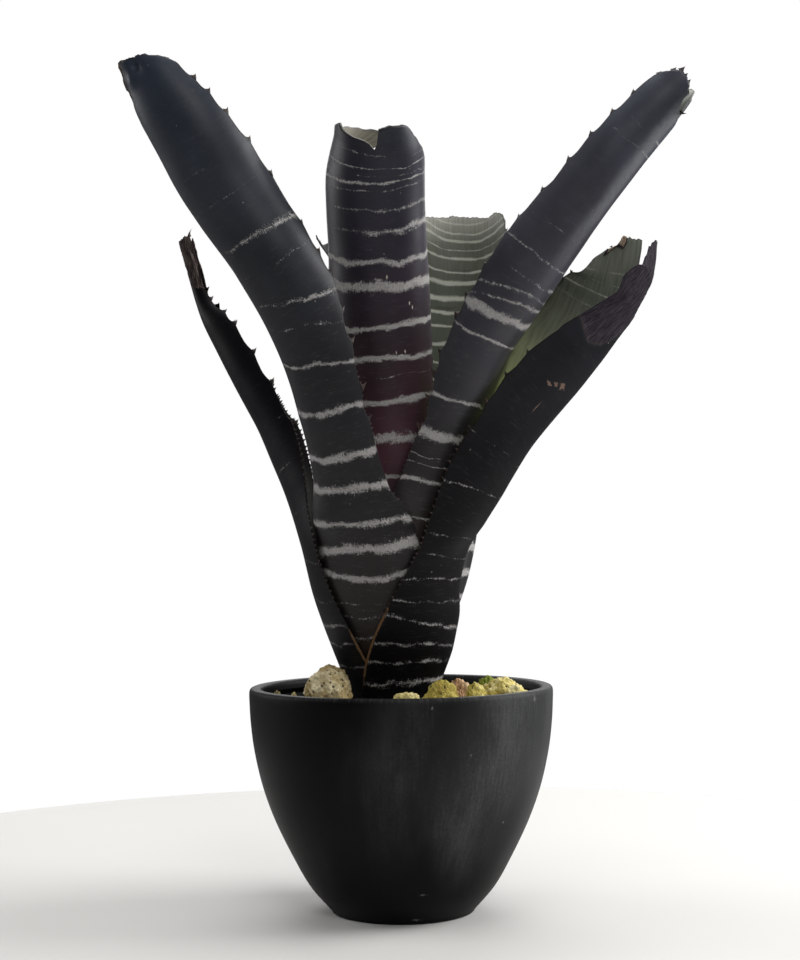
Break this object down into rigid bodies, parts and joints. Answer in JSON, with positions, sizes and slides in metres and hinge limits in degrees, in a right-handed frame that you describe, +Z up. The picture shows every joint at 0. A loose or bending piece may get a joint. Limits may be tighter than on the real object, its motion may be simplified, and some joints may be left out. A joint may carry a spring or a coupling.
{
  "type": "potted amazonian zebra plant",
  "caption": "Dark vase-shaped bromeliad with silver zebra bands and spiny leaf margins, in a round black bowl pot dressed with pumice stones.",
  "frame": {"origin": "centre of the pot's flat underside, on the surface that the pot stands on", "axes": "+Z up; -Y towards the viewer of the picture; +X to the viewer's right"},
  "size_m": [0.2773, 0.2182, 0.4254],
  "materials": {
    "pot_plastic": "satin black, faintly streaked",
    "potting_mix": "dark crumbly bark mix",
    "stem": "dull brown",
    "pumice": "rough, porous, with moss stains",
    "leaf": "semi-matte with silver scurf bands"
  },
  "bodies": {
    "root": {"pot": "pot_plastic", "potting_mix": "potting_mix", "stem": "stem", "pumice_left": "pumice", "pumice_left_small": "pumice", "pumice_left_edge": "pumice", "pumice_front": "pumice", "pumice_right": "pumice", "pumice_right_pink": "pumice", "pumice_right_mid": "pumice", "pumice_right_wide": "pumice", "pumice_right_mossy": "pumice", "leaf_right": "leaf", "leaf_left": "leaf", "leaf_front_left": "leaf", "leaf_back_right": "leaf", "leaf_front_right": "leaf", "leaf_back": "leaf", "leaf_centre": "leaf"}
  },
  "joints": []
}
